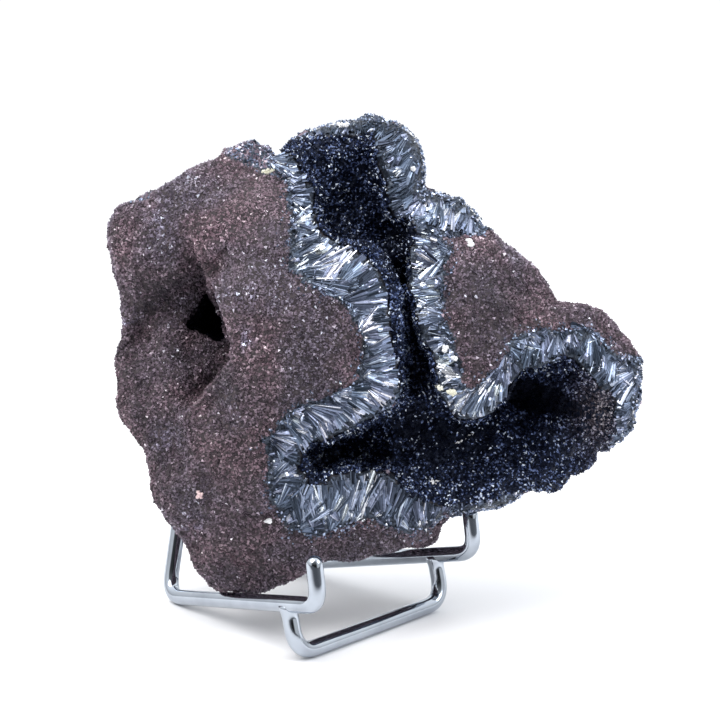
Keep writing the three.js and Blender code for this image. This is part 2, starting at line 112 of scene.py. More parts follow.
class Value:
    def __init__(self, tree, socket=None):
        self.tree = tree
        self.socket = socket

    def node(self, kind, settings=(), links=(), output=0):
        made = self.tree.nodes.new(kind)
        for name, setting in dict(settings).items():
            if name == "stops":
                fill_ramp(made.color_ramp, setting)
            else:
                setattr(made, name, setting)
        for name, value in dict(links).items():
            connect(self.tree, value, made.inputs[name])
        return Value(self.tree, made.outputs[output])

    def math(self, operation, first, second=0.0):
        return self.node("ShaderNodeMath", {"operation": operation}, {0: first, 1: second})

    def __add__(self, other):
        return self.math("ADD", self, other)

    def __radd__(self, other):
        return self.math("ADD", other, self)

    def __sub__(self, other):
        return self.math("SUBTRACT", self, other)

    def __rsub__(self, other):
        return self.math("SUBTRACT", other, self)

    def __mul__(self, other):
        return self.math("MULTIPLY", self, other)

    def __rmul__(self, other):
        return self.math("MULTIPLY", other, self)

    def blend(self, low, high):
        links = {0: self, FIRST_COLOUR: low, SECOND_COLOUR: high}
        return self.node("ShaderNodeMix", {"data_type": "RGBA"}, links, MIXED)

    def tinted(self, tint):
        settings = {"data_type": "RGBA", "blend_type": "MULTIPLY"}
        return self.node("ShaderNodeMix", settings, {0: 1.0, FIRST_COLOUR: self, SECOND_COLOUR: tint}, MIXED)

    def axis(self, name):
        return self.node("ShaderNodeSeparateXYZ", links={0: self}, output=name)

    def ramp(self, *stops):
        return self.node("ShaderNodeValToRGB", {"stops": stops}, {0: self})

    def step(self, low, high):
        settings = {"interpolation_type": "SMOOTHSTEP"}
        return self.node("ShaderNodeMapRange", settings, {0: self, 1: low, 2: high})


def fill_ramp(ramp, stops):
    while len(ramp.elements) < len(stops):
        ramp.elements.new(1.0)
    for element, (place, colour) in zip(ramp.elements, stops):
        element.position = place
        element.color = (*colour, 1)


def connect(tree, value, socket):
    if isinstance(value, Value):
        tree.links.new(value.socket, socket)
    elif isinstance(value, tuple) and socket.type == "RGBA":
        socket.default_value = (*value, 1)
    else:
        socket.default_value = value


def finish_of(name, fixed=()):
    material = bpy.data.materials.new(name)
    material.use_nodes = True
    shader = material.node_tree.nodes["Principled BSDF"]
    for socket, number in dict(fixed).items():
        connect(material.node_tree, number, shader.inputs[socket])
    return material, Value(material.node_tree), shader


def paint(material, shader, **links):
    for name, value in links.items():
        connect(material.node_tree, value, shader.inputs[name.replace("_", " ").title()])


def attribute(value, name):
    return value.node("ShaderNodeAttribute", {"attribute_name": name}, output="Fac")


def place(value):
    return value.node("ShaderNodeTexCoord", output="Object")


def cloud(value, where, size, detail=3.0, roughness=0.55):
    links = {"Vector": where, "Scale": 1 / (size * MM), "Detail": detail, "Roughness": roughness}
    return value.node("ShaderNodeTexNoise", links=links)


def bumped(value, height, strength, distance):
    links = {"Height": height, "Strength": strength, "Distance": distance * MM}
    return value.node("ShaderNodeBump", links=links)


print("socket class ready")

# %% [markdown]
# ## Meshes from arrays
# The druse is tens of thousands of tiny crystals. Particles would be quick, but they aren't real mesh, so
# each crystal's corners are worked out with arrays and joined in one mesh.
# A number stored on every corner, such as a crystal's own tone, can be read later by its finish.

# %% Mesh helpers
chance = np.random.default_rng(4813)
SEED_SHIFT = 17.3  # how far apart two seeds read the same noise


def mesh_piece(name, spots, faces, material, numbers=(), smooth=False):
    mesh = bpy.data.meshes.new(name)
    mesh.from_pydata(to_room(spots).tolist(), [], [list(face) for face in faces])
    for label, values in dict(numbers).items():
        layer = mesh.attributes.new(label, "FLOAT", "POINT")
        layer.data.foreach_set("value", np.ascontiguousarray(values, np.float32))
    if smooth:
        mesh.shade_smooth()
    else:
        mesh.shade_flat()
    mesh.materials.append(material)
    piece = bpy.data.objects.new(name, mesh)
    scene.collection.objects.link(piece)
    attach(piece, "root")
    print(name, len(spots), "points", len(faces), "faces")
    return piece


def read_mesh(mesh):
    places = np.zeros(len(mesh.vertices) * 3)
    mesh.vertices.foreach_get("co", places)
    mesh.calc_loop_triangles()
    corners = np.zeros(len(mesh.loop_triangles) * 3, int)
    mesh.loop_triangles.foreach_get("vertices", corners)
    return places.reshape(-1, 3), corners.reshape(-1, 3)


def solid_copy(node):
    places, faces = read_mesh(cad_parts[node].data)
    return to_face(places), faces


def remeshed(spots, faces, voxel):
    mesh = bpy.data.meshes.new("block")
    mesh.from_pydata((spots * MM).tolist(), [], faces.tolist())
    block = bpy.data.objects.new("block", mesh)
    scene.collection.objects.link(block)
    change = block.modifiers.new("voxels", "REMESH")
    change.mode = "VOXEL"
    change.voxel_size = voxel * MM
    done = bpy.data.meshes.new_from_object(block.evaluated_get(bpy.context.evaluated_depsgraph_get()))
    places, faces = read_mesh(done)
    bpy.data.objects.remove(block)
    bpy.data.meshes.remove(mesh)
    bpy.data.meshes.remove(done)
    return places / MM, faces


def smoothed(spots, faces, rounds, share=0.5):
    edges = np.concatenate([faces[:, [0, 1]], faces[:, [1, 2]], faces[:, [2, 0]]])
    count = sum(np.bincount(edges[:, end], minlength=len(spots)) for end in (0, 1))
    for _ in range(rounds):
        total = np.zeros_like(spots)
        for axis in range(3):
            total[:, axis] += np.bincount(edges[:, 0], spots[edges[:, 1], axis], len(spots))
            total[:, axis] += np.bincount(edges[:, 1], spots[edges[:, 0], axis], len(spots))
        spots = spots + share * (total / np.maximum(count, 1)[:, None] - spots)
    return spots


def corner_normals(spots, faces):
    a, b, c = (spots[faces[:, k]] for k in range(3))
    across = np.cross(b - a, c - a)
    total = np.zeros_like(spots)
    for k in range(3):
        for axis in range(3):
            total[:, axis] += np.bincount(faces[:, k], across[:, axis], len(spots))
    return unit(total)


def lumps(spots, size, seed):
    shifted = spots / size + SEED_SHIFT * seed
    return np.array([noise.noise(spot) for spot in shifted])


print("mesh helpers ready")

# %% [markdown]
# ## The bands and hollows, read from the front
# Silver blades grew from the brown rind towards the open hollows. Each station is a blade's root, on the
# brown side, and its tip, at the hollow. Hollows are outlines. The masks of colour, the blades and the druse
# all come from these few lists. Steel patches are weathered silver. Small places are smooth, scuffed or have
# painted shade.

# %% Layout of the face
BANDS = {
    # root x, root z, tip x, tip z
    "left_edge": [
        [-19.5, 40.5, -13.6, 41.2], [-15, 37, -11.2, 36.6], [-14, 32, -8.6, 32], [-13.8, 27, -9.2, 28],
        [-13.5, 23, -7.5, 25], [-14.5, 18, -3.5, 22.4], [-8.5, 13.5, 1.2, 20.3], [-4.5, 12, 4.2, 16],
        [-1.5, 8, 5.3, 11], [0.3, 4, 6, 5], [0.3, 0.5, 6.6, -0.5], [-1, -4, 8, -6], [-5, -6.5, 2.5, -11.5],
        [-10, -8, -3.5, -14.5], [-15, -11, -9, -16], [-19, -16, -11.8, -17.5],
    ],
    "lower_fans": [
        [-19, -16, -11.8, -17.5], [-18.5, -22, -11.8, -21], [-17.5, -28, -10.6, -24.2],
        [-14, -33.8, -9.4, -25.2], [-8, -34.8, -7, -24.4], [-2.5, -33, -4.6, -22.2], [1, -31.2, 1.4, -21.4],
        [5, -32.6, 6.4, -22.8], [9, -34.5, 8.6, -26], [13, -33.5, 12.5, -27.8], [16, -31.3, 18, -27.8],
    ],
    "top_lobe": [
        [-9.5, 45.8, -9, 43.9], [-4, 46.9, -4, 43.9], [1.5, 47.2, 1, 44.4], [5, 47, 3, 43.5],
        [9.5, 46, 3.4, 40.8], [12, 42, 4, 37.8], [12.6, 37.5, 5.2, 33.8], [12.2, 33, 5.6, 30.2],
        [11.2, 29.5, 6.6, 28.2],
    ],
    "right_edge": [
        [24, 28, 21.5, 26], [21, 30.5, 17.5, 25.6], [16, 32.6, 12.4, 26.4], [12.6, 32.5, 10.5, 28],
        [14.6, 25, 11.4, 24.8], [18.2, 22, 9, 20.6], [16.9, 17.6, 9.2, 16.8], [16.5, 12.6, 10.4, 12.6],
        [16.9, 7.7, 11.4, 7.7], [18.2, 4.8, 12.4, 4.3], [19.2, 0.8, 14.6, 0.8], [20.2, -3, 14.7, -3.6],
    ],
    "tongue": [
        [20.2, -3, 14.7, -3.6], [20.6, -5.5, 16.2, -8.5], [22.2, -5.2, 18.5, -11.8],
        [24.2, -4.2, 21.5, -12.5], [26.6, -2.8, 25, -11.8], [28.4, -0.9, 27.6, -9.4],
    ],
    "arch": [
        [28.4, -0.9, 27.6, -9.4], [29, 2.8, 29.4, -5], [31.5, 5.2, 32.3, -2.4], [36, 6.2, 36.5, -1.3],
        [40.5, 6, 40, 1.2], [44.5, 6.5, 43, -0.8], [47.5, 4, 45.5, -2.8], [50.5, 1, 47.3, -5],
        [54.6, -0.5, 49.7, -6.5], [55, -6.5, 50.3, -9], [54, -12, 50.2, -13], [51.5, -15.8, 48.6, -17.4],
    ],
    "bottom_rim": [
        [19.5, -30.2, 20, -28.2], [24, -29.8, 24, -27.6], [28, -28.6, 27.5, -26.4], [32, -26.6, 31.5, -25],
    ],
}

HOLLOW = [
    [-11.2, 35.8], [-8.7, 33.8], [-8.4, 30.3], [-9.2, 27.4], [-7.7, 24.9], [-5.7, 23.5], [-2.8, 22.5],
    [1, 20], [3.4, 17.6], [4.9, 13.6], [5.4, 8.7], [6.1, 4.8], [6.4, 0.8], [8.2, -5.4], [7.7, -8.8],
    [3.3, -11.3], [0.3, -12.8], [-2.6, -14.2], [-8.7, -16.2], [-11.9, -17.7], [-12.1, -21.1],
    [-10.2, -24.6], [-6.7, -24.6], [-5.2, -22.6], [1.6, -21.6], [4.2, -22.1], [6.7, -22.6], [8.2, -25.6],
    [8.7, -28.5], [12.1, -27.9], [15.6, -28.4], [19, -28.4], [24, -27.6], [29, -26.2], [33, -25.6],
    [36, -26.6], [39.5, -27], [43, -24], [46, -22], [49.5, -19.5], [49, -17.2], [50.3, -14.2], [50, -11.3],
    [50.5, -8.3], [49.5, -6.4], [47.1, -4.9], [45.1, -2.4], [42.1, 0], [39.7, 1.5], [38.7, -1],
    [35.2, -1.4], [32.3, -2.4], [29.8, -4.4], [28.4, -6.9], [27.4, -9.8], [24.9, -11.8], [21.5, -12.5],
    [18.5, -11.8], [16.5, -8.8], [14.6, -4.4], [15.1, -1], [14.7, 0.8], [12.3, 4.3], [11.5, 7.7],
    [10.5, 12.6], [9.3, 16.6], [8.8, 20], [11.6, 24.6], [10.4, 27.5], [6.1, 28.6], [5.6, 33.5], [3.9, 38.4],
    [3.1, 42.7], [2.9, 44.6], [-6.9, 43.9], [-10.7, 44.2], [-15.6, 43.4], [-16, 41.2], [-12.3, 38.9],
]
PIT = [
    [-31.6, 14.6], [-30.4, 13.6], [-28.6, 10.4], [-27.1, 7], [-26.2, 3.4], [-29.2, 3.6], [-32.4, 4.6],
    [-35, 7], [-33.8, 9.2], [-32.9, 12],
]
RIDGE = [[-31.6, 19], [-29.6, 13.6], [-27.1, 7.7], [-25.6, 2.8], [-25.4, 0], [-28.4, -3.6], [-31, -6.6]]
CREASE = [[-45, 5], [-41.2, 8.8], [-37.4, 11.8], [-34, 14.6], [-31.2, 17.8]]
STEEL = {
    "top": [
        [-16.5, 43], [-18, 50], [14, 52], [20, 36], [30, 31], [27.5, 25.5], [21, 24.5], [15, 27.5],
        [12, 29.5], [3, 43],
    ],
    "right_end": [
        [47, 1], [52, 0.8], [59, 0.5], [59, -12], [54, -18], [49, -19], [50, -14], [50.5, -8], [48, -4],
    ],
    "bottom": [[17, -28.5], [19, -35], [34, -31.5], [35.5, -27], [30, -26.5], [24, -28.5]],
    "peak": [[-27, 40.5], [-22, 46], [-15.5, 43], [-14.5, 36], [-19, 36.8], [-23.5, 38.8]],
    "left_corner": [[-47.5, 30.3], [-46, 34], [-41.5, 33.5], [-42, 31.6]],
}
LIP = [[2.9, 21.5], [4.4, 20.5], [6.1, 16.6], [7.4, 12.6], [7.8, 7.7], [9.3, 4.8], [9.8, 0.3]]
# DIM and GAP: deep places in the hollows where the druse is darkened, painted shade
DIM = [[9, -9], [20, -13], [27, -12.5], [26, -18], [14, -21], [8, -14]]
GAP = [[5, 24.5], [8, 27.5], [12.8, 28.4], [12.2, 24.5], [9.2, 20.6], [9.2, 15], [6.4, 15.5], [4, 20.5]]
# SLOT: druse under the overhang of the lower hollow, darkened as a painted shadow
SLOT = [[29, -4.5], [33, -3.2], [38, -5.5], [43.5, -9], [44, -11], [38, -10.8], [31, -9.8], [28.4, -7.5]]
# small places: seen x, seen z, radius
CALM = [[-22, 17, 6.5], [-26.5, 9, 4], [-20, 30, 7]]
SCUFFS = [
    [-25.2, 12, 2], [-22, 12.4, 2], [-23, 4, 2.4], [-45.6, 7.2, 2], [-33, -33, 2.4], [-39, -15.7, 2.6],
    [-40, 27, 2.4],
]
# DUSK spots and the FOLD along the crease darken the brown grains: painted shade
DUSK = [[-31, 17.6, 2], [-27, -5, 3.4], [27, 10, 6]]
FOLD = [[-39.4, 13.4, 2.9], [-36.6, 15.6, 2.3], [-42.4, 10.6, 2.4]]
HEEL = [19.5, -33]
NOTCHES = [
    # seen x, seen z, radius, push along x, push along z
    [-15.6, 41.6, 2.2, 0, -2.6], [12.9, 34, 1.8, -1.3, 0], [2.6, 48, 2.2, 0, 0.9], [-9.5, 45, 1.6, 0, -0.8],
    [-24, 42, 3, 0, 0.9], [44.6, -21.4, 1.4, 0.5, -0.7], [41.6, -23.6, 1.2, -0.5, 0.8],
    [38.4, -25.2, 1.4, 0.3, -0.8], [47.4, -18.8, 1.2, -0.6, 0.5], [34.6, -25.8, 1.3, 0, 0.7],
    [55.2, -8, 1.2, 0.7, 0], [55, -10.6, 1, -0.7, 0],
]


def inside(outline, points):
    within = np.zeros(len(points), bool)
    ends = np.asarray(outline, float)
    for (x0, z0), (x1, z1) in zip(ends, np.roll(ends, -1, 0)):
        between = (z0 > points[:, 1]) != (z1 > points[:, 1])
        crossing = x0 + (points[:, 1] - z0) * (x1 - x0) / (z1 - z0 if z1 != z0 else 1e-9)
        within ^= between & (points[:, 0] < crossing)
    return within


def in_bands(points):
    within = np.zeros(len(points), bool)
    for stations in BANDS.values():
        for here, there in zip(stations, stations[1:]):
            within |= inside([here[:2], here[2:], there[2:], there[:2]], points)
    return within


def beside(line, points):
    """How far points lie from a line, and on which side of it: positive on its left as it runs."""
    best = np.full(len(points), 1e9)
    side = np.zeros(len(points))
    ends = np.asarray(line, float)
    for a, b in zip(ends, ends[1:]):
        share = np.clip(((points - a) @ (b - a)) / ((b - a) @ (b - a)), 0, 1)
        off = points - a - share[:, None] * (b - a)
        away = np.linalg.norm(off, axis=1)
        turn = (b - a)[0] * (points - a)[:, 1] - (b - a)[1] * (points - a)[:, 0]
        side = np.where(away < best, np.sign(turn), side)
        best = np.minimum(best, away)
    return best, side


def bell(distance, width):
    return np.exp(-((distance / width) ** 2))


def closeness(seen, x, z, radius):
    return np.exp(-(((seen - (x, z)) ** 2).sum(1) / radius ** 2))


def in_streaks(seen):
    return inside(STEEL["peak"], seen) | inside(STEEL["left_corner"], seen)


print(len(BANDS), "bands,", len(HOLLOW), "corners of the hollow")

# %% [markdown]
# ## The stone's body
# The real stone is one lump of ore. Its solid has broad facets, which would show under a studio light.
# A voxel remesh gives even, small facets. They are smoothed, the recess, pit and notches are sharpened, and
# noise of several sizes pushes them in and out, as a broken and overgrown surface is.
# The masks say where the stone is silver and where it is black, and the rest is brown.

# %% Shape of the stone
FACET, SMOOTHINGS = 0.57, 5
FRONT_TURN, FRONT_DEPTH = 0.35, 4
GRAIN_ROOM = 0.25  # the body shrinks by this, so the grains end near the solid's skin
RECESS_DEPTH, RECESS_REACH = 5.5, 3.2
RIDGE_RISE, RIDGE_REACH = 0.6, 2.0
CREASE_DEPTH, CREASE_SLOPE, CREASE_WALL = 4.4, 5.0, 2.1
CREASE_START, CREASE_FADE = -49, 6
PIT_DEPTH, PIT_WALL, PIT_LIP = 9, 1.6, 0.35
HEEL_TRIM, HEEL_REACH = 3.2, 4.2

body, body_faces = remeshed(*solid_copy("ore_rock"), FACET)
body = smoothed(body, body_faces, SMOOTHINGS)
out = corner_normals(body, body_faces)
front = (out[:, 1] < FRONT_TURN) & (body[:, 1] < FRONT_DEPTH)
seen_body = as_seen(body)
wavy = np.stack([lumps(body, 2.2, 4), lumps(body, 2.2, 5)], 1)
from_ridge, ridge_side = beside(RIDGE, seen_body + 0.4 * wavy)
from_crease, crease_side = beside(CREASE, seen_body + 0.4 * wavy)
from_pit = beside(PIT + PIT[:1], seen_body)[0]
in_pit = front & inside(PIT, seen_body + 0.3 * wavy)
dip, rise = RECESS_DEPTH * bell(from_ridge, RECESS_REACH), -RIDGE_RISE * bell(from_ridge, RIDGE_REACH)
recess = np.where(ridge_side < 0, dip, rise)
crease = CREASE_DEPTH * bell(from_crease, np.where(crease_side < 0, CREASE_SLOPE, CREASE_WALL))
crease = crease * np.clip((body[:, 0] - CREASE_START) / CREASE_FADE, 0, 1)
pit = PIT_DEPTH * np.clip(from_pit / PIT_WALL, 0, 1)
sunk = np.where(front, recess + crease, 0) + np.where(in_pit, pit, 0)
in_pit = in_pit & (from_pit > PIT_LIP)
trimmed = -HEEL_TRIM * bell(np.linalg.norm(seen_body - HEEL, axis=1), HEEL_REACH)
body = body + np.stack([trimmed, sunk, 0 * sunk], 1) - GRAIN_ROOM * out
for x, z, radius, push_x, push_z in NOTCHES:
    body = body + closeness(seen_body, x, z, radius)[:, None] * np.array([push_x, 0.0, push_z])
seen_body = as_seen(body)
print("pit and crease moved", (abs(sunk) > 0.3).sum(), "corners")

# %% Relief and masks
RELIEF = ((0.7, 6.0, 1), (0.4, 2.6, 2), (0.25, 1.2, 3))  # height, size of the lumps, seed
ROUGH_SCALES, ROUGH_BANDS, ROUGH_HOLLOWS, ROUGH_RIND = 1.9, 0.6, 1.6, 1.0
CRUST_REACH, TIP_REACH = 1.6, 1.4
STEEL_DEPTH = 3

out = corner_normals(body, body_faces)
relief = sum(height * lumps(body, size, seed) for height, size, seed in RELIEF)
crust, crust_faces = solid_copy("black_crystal_crust")
crust_tree = BVHTree.FromPolygons(crust.tolist(), crust_faces.tolist())
near_crust = np.array([crust_tree.find_nearest(spot)[3] for spot in body]) < CRUST_REACH
black = near_crust | (front & inside(HOLLOW, seen_body + 0.5 * wavy))
black = black & ~inside(STEEL["bottom"], seen_body + 0.3 * wavy)
from_tips = np.min([beside(np.array(rows)[:, 2:], seen_body)[0] for rows in BANDS.values()], axis=0)
silver = front & (in_bands(seen_body + 0.9 * wavy) | (from_tips < TIP_REACH))
steel = np.any([inside(patch, seen_body + 0.8 * wavy) for patch in STEEL.values()], axis=0)
steel = steel & (body[:, 1] < STEEL_DEPTH + 6 * lumps(body, 7, 14) + 3 * lumps(body, 2, 15))
silver = (silver | steel) & ~black
rough = np.where(silver, ROUGH_BANDS, np.where(black, ROUGH_HOLLOWS, ROUGH_RIND))
rough = np.where(silver & ~in_bands(seen_body), ROUGH_SCALES, rough)
body = body + out * (relief * rough)[:, None]
print("stone", len(body), "corners,", len(body_faces), "facets, silver", silver.sum(), "black", black.sum())

# %% [markdown]
# ## Finish of the stone's body
# Under the crystals the ore shows in the gaps: dull purple-brown rind, dark steel under the silver bands and
# blue-black in the hollows. The three are mixed by the masks, with Voronoi cells as the size of the grains.

# %% Ore finish
ore, value, shader = finish_of("ore_body", {"Specular IOR Level": 0.35})
where = place(value)
cells = {"Vector": where, "Scale": 1 / (0.7 * MM)}
grain = value.node("ShaderNodeTexVoronoi", links=cells, output="Distance")
patch = cloud(value, where, 16).step(0.35, 0.65)
rind = patch.blend((0.062, 0.05, 0.06), (0.1, 0.072, 0.082))
rind = grain.step(0.15, 0.6).blend(rind, (0.035, 0.027, 0.032))
grey = cloud(value, where, 0.5).ramp((0.35, (0.008, 0.011, 0.017)), (0.7, (0.09, 0.11, 0.15)))
night = cloud(value, where, 0.8).ramp((0.4, (0.001, 0.0012, 0.0026)), (0.75, (0.006, 0.008, 0.018)))
is_silver = attribute(value, "silver")
is_black = attribute(value, "black")
colour = is_black.blend(is_silver.blend(rind, grey), night)
paint(ore, shader, base_color=colour, metallic=is_silver * 0.6)
paint(ore, shader, roughness=0.75 - 0.35 * is_silver - 0.3 * is_black)
paint(ore, shader, normal=bumped(value, grain, 0.6, 0.3))
# the pit is marked black as well, though its real surface is brown druse: painted shade in the pit
stone = mesh_piece("stone", body, body_faces, ore, {"silver": silver, "black": black | in_pit}, True)
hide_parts("ore_rock")

# %% [markdown]
# ## Brown druse
# The rind is a carpet of crystals half a millimetre across, so fine that it looks like sparkling sandpaper.
# A bump map alone would leave the outline smooth, so every grain is a small three-faced crystal corner,
# scattered by area over the brown part and tilted at random. A few grains glint: their near-white base colour
# is a painted glint, and their lower roughness catches real highlights as well.

# %% Crystal helpers
CORNER_SIZES = (0.75, 1.3)
PLAIN_TONE, PLAIN_SPREAD, PLAIN_LIMITS = 0.4, 0.16, (0.02, 0.75)
# glint tones give a grain a near-white base colour, a painted glint, beside the real glint from its lower
# roughness
PALE_TONES, GLINT_TONES = (0.72, 0.88), (0.92, 1.0)
NEAR_SIDE = 6  # spots nearer to the viewer than this are on the front


def scattered(spots, faces, weight, density):
    a, b, c = (spots[faces[:, k]] for k in range(3))
    area = np.linalg.norm(np.cross(b - a, c - a), axis=1) / 2 * weight[faces].mean(1)
    number = int(area.sum() * density)
    pick = chance.choice(len(faces), number, p=area / area.sum())
    s, t = chance.random((2, number, 1))
    s, t = np.where(s + t > 1, 1 - s, s), np.where(s + t > 1, 1 - t, t)
    return a[pick] + s * (b - a)[pick] + t * (c - a)[pick], unit(np.cross(b - a, c - a)[pick])


def frames(normals, tilt):
    up = unit(normals + tilt * chance.normal(size=normals.shape))
    first = unit(np.cross(up, unit(chance.normal(size=up.shape))))
    return first, np.cross(up, first), up


def pyramids(spots, normals, radius, height, sides, tilt, sunk=0.12):
    first, second, up = frames(normals, tilt)
    rings = []
    for k in range(sides):
        angle = 2 * math.pi * k / sides
        size = (radius * chance.uniform(*CORNER_SIZES, len(spots)))[:, None]
        rings.append(spots + size * (math.cos(angle) * first + math.sin(angle) * second) - sunk * up)
    points = np.stack([*rings, spots + height[:, None] * up], 1)
    shape = np.array([[k, (k + 1) % sides, sides] for k in range(sides)])
    faces = (np.arange(len(spots)) * (sides + 1))[:, None, None] + shape
    return points.reshape(-1, 3), faces.reshape(-1, 3)


def tones(number, glints, pale):
    tone = np.clip(chance.normal(PLAIN_TONE, PLAIN_SPREAD, number), *PLAIN_LIMITS)
    draw = chance.random(number)
    tone = np.where(draw < pale, chance.uniform(*PALE_TONES, number), tone)
    return np.where(draw < glints, chance.uniform(*GLINT_TONES, number), tone)


def near_spots(spots, centres):
    """From 1 at the seen centres to 0 a little past their radius, on the front only."""
    seen = as_seen(spots)
    return np.max([closeness(seen, *centre) for centre in centres], axis=0) * (spots[:, 1] < NEAR_SIDE)


print("crystal helpers ready")

# %% Brown finish
brown_grain, value, shader = finish_of("brown_grain", {"Specular IOR Level": 0.5})
tone = attribute(value, "tone")
# tones above 0.9 are near white: painted glints
shade = tone.ramp(
    (0.0, (0.034, 0.026, 0.034)), (0.4, (0.145, 0.11, 0.134)), (0.7, (0.275, 0.219, 0.258)),
    (0.86, (0.46, 0.395, 0.45)), (0.95, (0.95, 0.93, 0.96)),
)
patch = cloud(value, place(value), 15).step(0.36, 0.64)
tint = patch.blend((0.82, 0.87, 0.97), (1.16, 1.0, 1.02))
tint = attribute(value, "scuff").blend(tint, (1.03, 1.15, 1.34))
paint(brown_grain, shader, base_color=shade.tinted(tint), roughness=0.62 - 0.35 * tone)
print("brown finish", brown_grain.name)

# %% Brown grains
GLINTS, PALES = 0.006, 0.025
# a share of grains is nearly black: painted shadow between the grains
SHADOW_GRAIN_SHARE, SHADOW_GRAIN_TONE = 0.13, 0.03
STREAK_SCUFF, STREAK_BROWN = 0.7, 0.55
SCUFF_LIFT, SPOT_PAINTED_SHADE, FOLD_PAINTED_SHADE, LEFT_DROP, PAINTED_TOP_LIGHT = 0.26, 0.26, 0.46, 0.05, 0.12
LEFT_SHADE, HIGH = -34, 30
CALM_TONE, CALM_SHARE = 0.5, 0.7
GRAIN_TILT = 0.38


def brown_tones(spots, scuff, calm):
    tone = tones(len(spots), GLINTS, PALES) + 0.1 * lumps(spots, 6, 7) + 0.2 * lumps(spots, 1.6, 8)
    # nearly black grains stand for the shadow between grains: painted shadow
    tone = np.where(chance.random(len(spots)) < SHADOW_GRAIN_SHARE, SHADOW_GRAIN_TONE, tone + 0.22 * lumps(spots, 0.8, 16))
    # grains are lighter towards the top and darker towards the bottom: painted light from above
    tone = tone + SCUFF_LIFT * scuff + PAINTED_TOP_LIGHT * np.clip(spots[:, 2] / HIGH, -0.35, 1)
    # darker spots, and a darker fold along the crease: painted shade
    tone = tone - SPOT_PAINTED_SHADE * near_spots(spots, DUSK) - FOLD_PAINTED_SHADE * near_spots(spots, FOLD)
    tone = tone - LEFT_DROP * np.clip((LEFT_SHADE - spots[:, 0]) / 10, 0, 1)
    return np.where(tone < 0.8, tone + CALM_SHARE * calm * (CALM_TONE - tone), tone)


streaky = in_streaks(seen_body)
mixed = np.where(steel, np.maximum(np.clip(body[:, 1] / 8, 0, 0.6), STREAK_BROWN * streaky), 0)
# the pit gets no brown grains, since it is painted black as shade
brown = np.where(silver | black | in_pit, mixed, 1.0)
facing = np.clip(0.5 - 1.2 * out[:, 1], 0, 1)
for name, share, density, size in (("front", facing, 7.6, 0.35), ("back", 1 - facing, 5.0, 0.42)):
    spots, normals = scattered(body, body_faces, brown * share, density)
    radius = size * chance.uniform(0.6, 1.4, len(spots))
    scuff = np.maximum(near_spots(spots, SCUFFS), STREAK_SCUFF * in_streaks(as_seen(spots)))
    scuff = scuff * np.clip(0.6 + 1.4 * lumps(spots, 1.6, 9), 0, 1)
    calm = near_spots(spots, CALM)
    height = radius * chance.uniform(0.5, 1.1, len(spots)) * (1 - 0.6 * calm)
    points, faces = pyramids(spots, normals, radius, height, 3, GRAIN_TILT)
    grain_tone = np.clip(brown_tones(spots, scuff, calm), 0, 1)
    numbers = {"tone": np.repeat(grain_tone, 4), "scuff": np.repeat(scuff, 4)}
    mesh_piece("brown_druse_" + name, points, faces, brown_grain, numbers)

# %% [markdown]
# ## Silver blades
# Along the broken rims the ore shows its inside: sheaves of flat, bright blades that fan out from the rind.
# Loose needles would look like grass. In the real ore the blades of one fan grew side by side from one point,
# so each fan here is a row of narrow roof-shaped strips that spread like a half sunburst and hug the stone.
# Every strip has its own ridge, tilt and length, which decide what light it mirrors, and a painted sheen in
# its base colour. The bands aren't alike: broad bright blades high on the left, fine and tangled ones in the
# arch, so each band has a row of its own.
# Flat scales lie where the silver skin is weathered, and small chips hide the fans' roots.

# %% Fan helpers
EYE = (0, -VIEW_DISTANCE, 0)
ROW_SHARES = np.array([0.0, 0.3, 0.65, 1.0])  # rows of a strip, from its root to its tip
ROW_LIFTS = np.array([-0.4, 0.55, 1.0, 0.45])
# ROW_SHADE darkens a strip towards its root: painted shade
ROW_SHADE = np.array([0.75, 0.3, 0.0, 0.1])
SHORTEST, ROOT_WIDTH = 0.8, 0.12
FEWEST, MOST = 4, 30
STRIP_REACH = (0.68, 1.05)
body_tree = BVHTree.FromPolygons(body.tolist(), body_faces.tolist())


def surface_depth(points):
    depth = np.full(len(points), np.nan)
    for i, (x, z) in enumerate(points):
        hit = body_tree.ray_cast(EYE, (x, VIEW_DISTANCE, z))[0]
        if hit is not None:
            depth[i] = hit[1]
    return depth


def raised(points, depth):
    scale = 1 + depth / VIEW_DISTANCE
    return np.stack([points[..., 0] * scale, depth, points[..., 1] * scale], -1)


def along_band(stations, travel):
    """Root and tip at each travelled length of a band, and the band's whole length."""
    ends = np.asarray(stations, float)
    steps = np.linalg.norm(np.diff((ends[:, :2] + ends[:, 2:]) / 2, axis=0), axis=1)
    marks = np.concatenate([[0], np.cumsum(steps)])
    return np.stack([np.interp(travel, marks, ends[:, k]) for k in range(4)], 1), marks[-1]


def fan(root, tip, spread, width):
    """The seen left and right edges of a fan's strips, row by row, and how far each row is from the root."""
    length = max(np.linalg.norm(tip - root), SHORTEST)
    along = (tip - root) / length
    side = np.array([-along[1], along[0]])
    number = int(np.clip(2 * spread * length / width, FEWEST, MOST))
    widths = chance.gamma(1.4, size=number) + 0.3
    cuts = np.concatenate([[0], np.cumsum(widths)]) / widths.sum() * 2 - 1
    reach = length * chance.uniform(*STRIP_REACH, number)[:, None] * ROW_SHARES
    edges = []
    for cut in (cuts[:-1, None], cuts[1:, None]):
        ahead = reach * np.cos(cut * spread)
        across = ROOT_WIDTH * length * cut + reach * np.sin(cut * spread)
        edges.append(root + ahead[..., None] * along + across[..., None] * side)
    return edges[0], edges[1], reach


print("fan helpers ready, rows at", ROW_SHARES.tolist())

